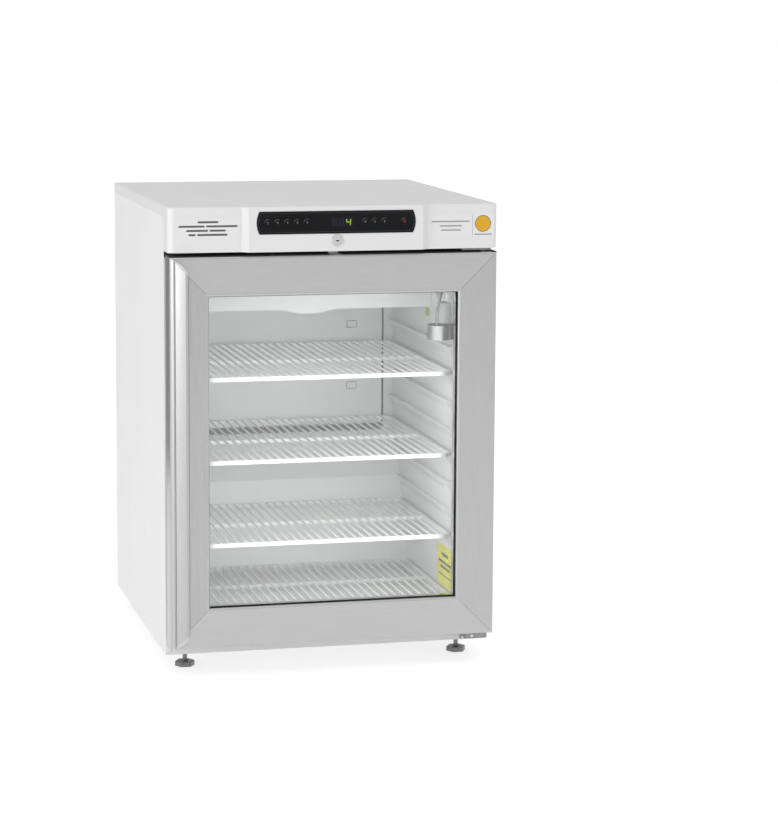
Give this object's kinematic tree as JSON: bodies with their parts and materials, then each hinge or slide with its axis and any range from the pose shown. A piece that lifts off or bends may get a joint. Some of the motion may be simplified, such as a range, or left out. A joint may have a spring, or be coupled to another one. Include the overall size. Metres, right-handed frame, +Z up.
{
  "type": "laboratory refrigerator",
  "caption": "Under-counter laboratory refrigerator with a hinged glass door, wire shelves, control panel and levelling feet.",
  "frame": {"origin": "middle of the bounding box's footprint, on the floor", "axes": "+Z up, the door faces -Y, +X to the right when facing the door"},
  "size_m": [0.595, 0.662, 0.838],
  "materials": {
    "painted_steel": "satin",
    "white_moulding": "satin",
    "liner_white": "satin",
    "foam": "matte",
    "galvanised_steel": "satin",
    "frame_aluminium": "satin",
    "cap_plastic": "satin",
    "door_glass": "gloss",
    "spacer_aluminium": "matte",
    "black_rubber": "matte",
    "gasket_grey": "matte",
    "panel_black": "gloss",
    "display_lens": "gloss",
    "button_dark": "matte",
    "button_red": "satin",
    "board_green": "matte",
    "lock_steel": "polished",
    "shelf_coating": "satin",
    "panel_grey": "satin",
    "fin_aluminium": "satin",
    "fan_black": "satin",
    "ring_steel": "satin",
    "bottle_clear": "gloss",
    "compressor_black": "satin",
    "copper": "satin",
    "bracket_grey": "satin",
    "foot_metal": "satin",
    "bush_plastic": "satin",
    "inlet_black": "matte"
  },
  "bodies": {
    "cabinet": {"side_panel_left": "painted_steel", "side_panel_right": "painted_steel", "rear_panel": "galvanised_steel", "rear_grille": "painted_steel", "base_pan": "galvanised_steel", "front_sill": "painted_steel", "insulation_foam": "foam", "inner_liner": "liner_white", "top_cover": "white_moulding", "control_panel": "panel_black", "display_window": "display_lens", "control_board": "board_green", "lock_escutcheon": "lock_steel", "air_panel": "panel_grey", "ceiling_cover": "liner_white", "evaporator": "fin_aluminium", "evaporator_fan_frame": "fan_black", "bottle_holder": "ring_steel", "sensor_bottle": "bottle_clear", "temperature_probe": "ring_steel", "compressor": "compressor_black", "compressor_mounts": "black_rubber", "condenser": "fin_aluminium", "condenser_fan_frame": "fan_black", "evaporation_tray": "fan_black", "refrigerant_pipes": "copper", "power_inlet": "inlet_black", "hinge_brackets": "bracket_grey", "hinge_pins": "lock_steel", "hinge_screws": "lock_steel", "shelf_1": "shelf_coating", "shelf_2": "shelf_coating", "shelf_3": "shelf_coating", "shelf_4": "shelf_coating"},
    "door": {"door_stile_left": "frame_aluminium", "door_stile_right": "frame_aluminium", "door_rail_top": "frame_aluminium", "door_rail_bottom": "frame_aluminium", "handle_caps": "cap_plastic", "glass_panes": "door_glass", "spacer_frame": "spacer_aluminium", "glazing_gasket": "black_rubber", "door_gasket": "gasket_grey", "hinge_bushes": "bush_plastic"},
    "button_1_cap": {"button_1": "button_dark"},
    "button_2_cap": {"button_2": "button_dark"},
    "button_3_cap": {"button_3": "button_dark"},
    "button_4_cap": {"button_4": "button_dark"},
    "button_5_cap": {"button_5": "button_dark"},
    "button_6_cap": {"button_6": "button_dark"},
    "button_7_cap": {"button_7": "button_dark"},
    "button_8_cap": {"button_8": "button_dark"},
    "power_button_cap": {"power_button": "button_red"},
    "lock": {"lock_barrel": "lock_steel"},
    "evaporator_fan": {"evaporator_fan_rotor": "fan_black"},
    "condenser_fan": {"condenser_fan_rotor": "fan_black"},
    "foot_front_left_body": {"foot_front_left": "foot_metal"},
    "foot_front_right_body": {"foot_front_right": "foot_metal"},
    "foot_rear_left_body": {"foot_rear_left": "foot_metal"},
    "foot_rear_right_body": {"foot_rear_right": "foot_metal"}
  },
  "joints": [
    {"name": "door_hinge", "type": "hinge", "parent": "cabinet", "child": "door", "pos_m": [0.277, -0.287, 0.403], "axis": [0, 0, 1], "range_deg": [0, 110]},
    {"name": "button_1_press", "type": "slide", "parent": "cabinet", "child": "button_1_cap", "axis": [0, 1, 0], "range_m": [0, 0.0006], "stiffness_N_per_m": 800},
    {"name": "button_2_press", "type": "slide", "parent": "cabinet", "child": "button_2_cap", "axis": [0, 1, 0], "range_m": [0, 0.0006], "stiffness_N_per_m": 800},
    {"name": "button_3_press", "type": "slide", "parent": "cabinet", "child": "button_3_cap", "axis": [0, 1, 0], "range_m": [0, 0.0006], "stiffness_N_per_m": 800},
    {"name": "button_4_press", "type": "slide", "parent": "cabinet", "child": "button_4_cap", "axis": [0, 1, 0], "range_m": [0, 0.0006], "stiffness_N_per_m": 800},
    {"name": "button_5_press", "type": "slide", "parent": "cabinet", "child": "button_5_cap", "axis": [0, 1, 0], "range_m": [0, 0.0006], "stiffness_N_per_m": 800},
    {"name": "button_6_press", "type": "slide", "parent": "cabinet", "child": "button_6_cap", "axis": [0, 1, 0], "range_m": [0, 0.0006], "stiffness_N_per_m": 800},
    {"name": "button_7_press", "type": "slide", "parent": "cabinet", "child": "button_7_cap", "axis": [0, 1, 0], "range_m": [0, 0.0006], "stiffness_N_per_m": 800},
    {"name": "button_8_press", "type": "slide", "parent": "cabinet", "child": "button_8_cap", "axis": [0, 1, 0], "range_m": [0, 0.0006], "stiffness_N_per_m": 800},
    {"name": "power_button_press", "type": "slide", "parent": "cabinet", "child": "power_button_cap", "axis": [0, 1, 0], "range_m": [0, 0.0006], "stiffness_N_per_m": 800},
    {"name": "lock_turn", "type": "hinge", "parent": "cabinet", "child": "lock", "pos_m": [0.0015, -0.3, 0.777], "axis": [0, 1, 0], "range_deg": [0, 90]},
    {"name": "evaporator_fan_spin", "type": "hinge", "parent": "cabinet", "child": "evaporator_fan", "pos_m": [0, 0.04, 0.651], "axis": [0, 0, 1], "continuous": true},
    {"name": "condenser_fan_spin", "type": "hinge", "parent": "cabinet", "child": "condenser_fan", "pos_m": [-0.15, 0.234, 0.133], "axis": [0, 1, 0], "continuous": true},
    {"name": "foot_front_left_turn", "type": "hinge", "parent": "cabinet", "child": "foot_front_left_body", "pos_m": [-0.2545, -0.209, 0.028], "axis": [0, 0, 1], "continuous": true},
    {"name": "foot_front_right_turn", "type": "hinge", "parent": "cabinet", "child": "foot_front_right_body", "pos_m": [0.2545, -0.209, 0.028], "axis": [0, 0, 1], "continuous": true},
    {"name": "foot_rear_left_turn", "type": "hinge", "parent": "cabinet", "child": "foot_rear_left_body", "pos_m": [-0.2545, 0.291, 0.028], "axis": [0, 0, 1], "continuous": true},
    {"name": "foot_rear_right_turn", "type": "hinge", "parent": "cabinet", "child": "foot_rear_right_body", "pos_m": [0.2545, 0.291, 0.028], "axis": [0, 0, 1], "continuous": true}
  ]
}
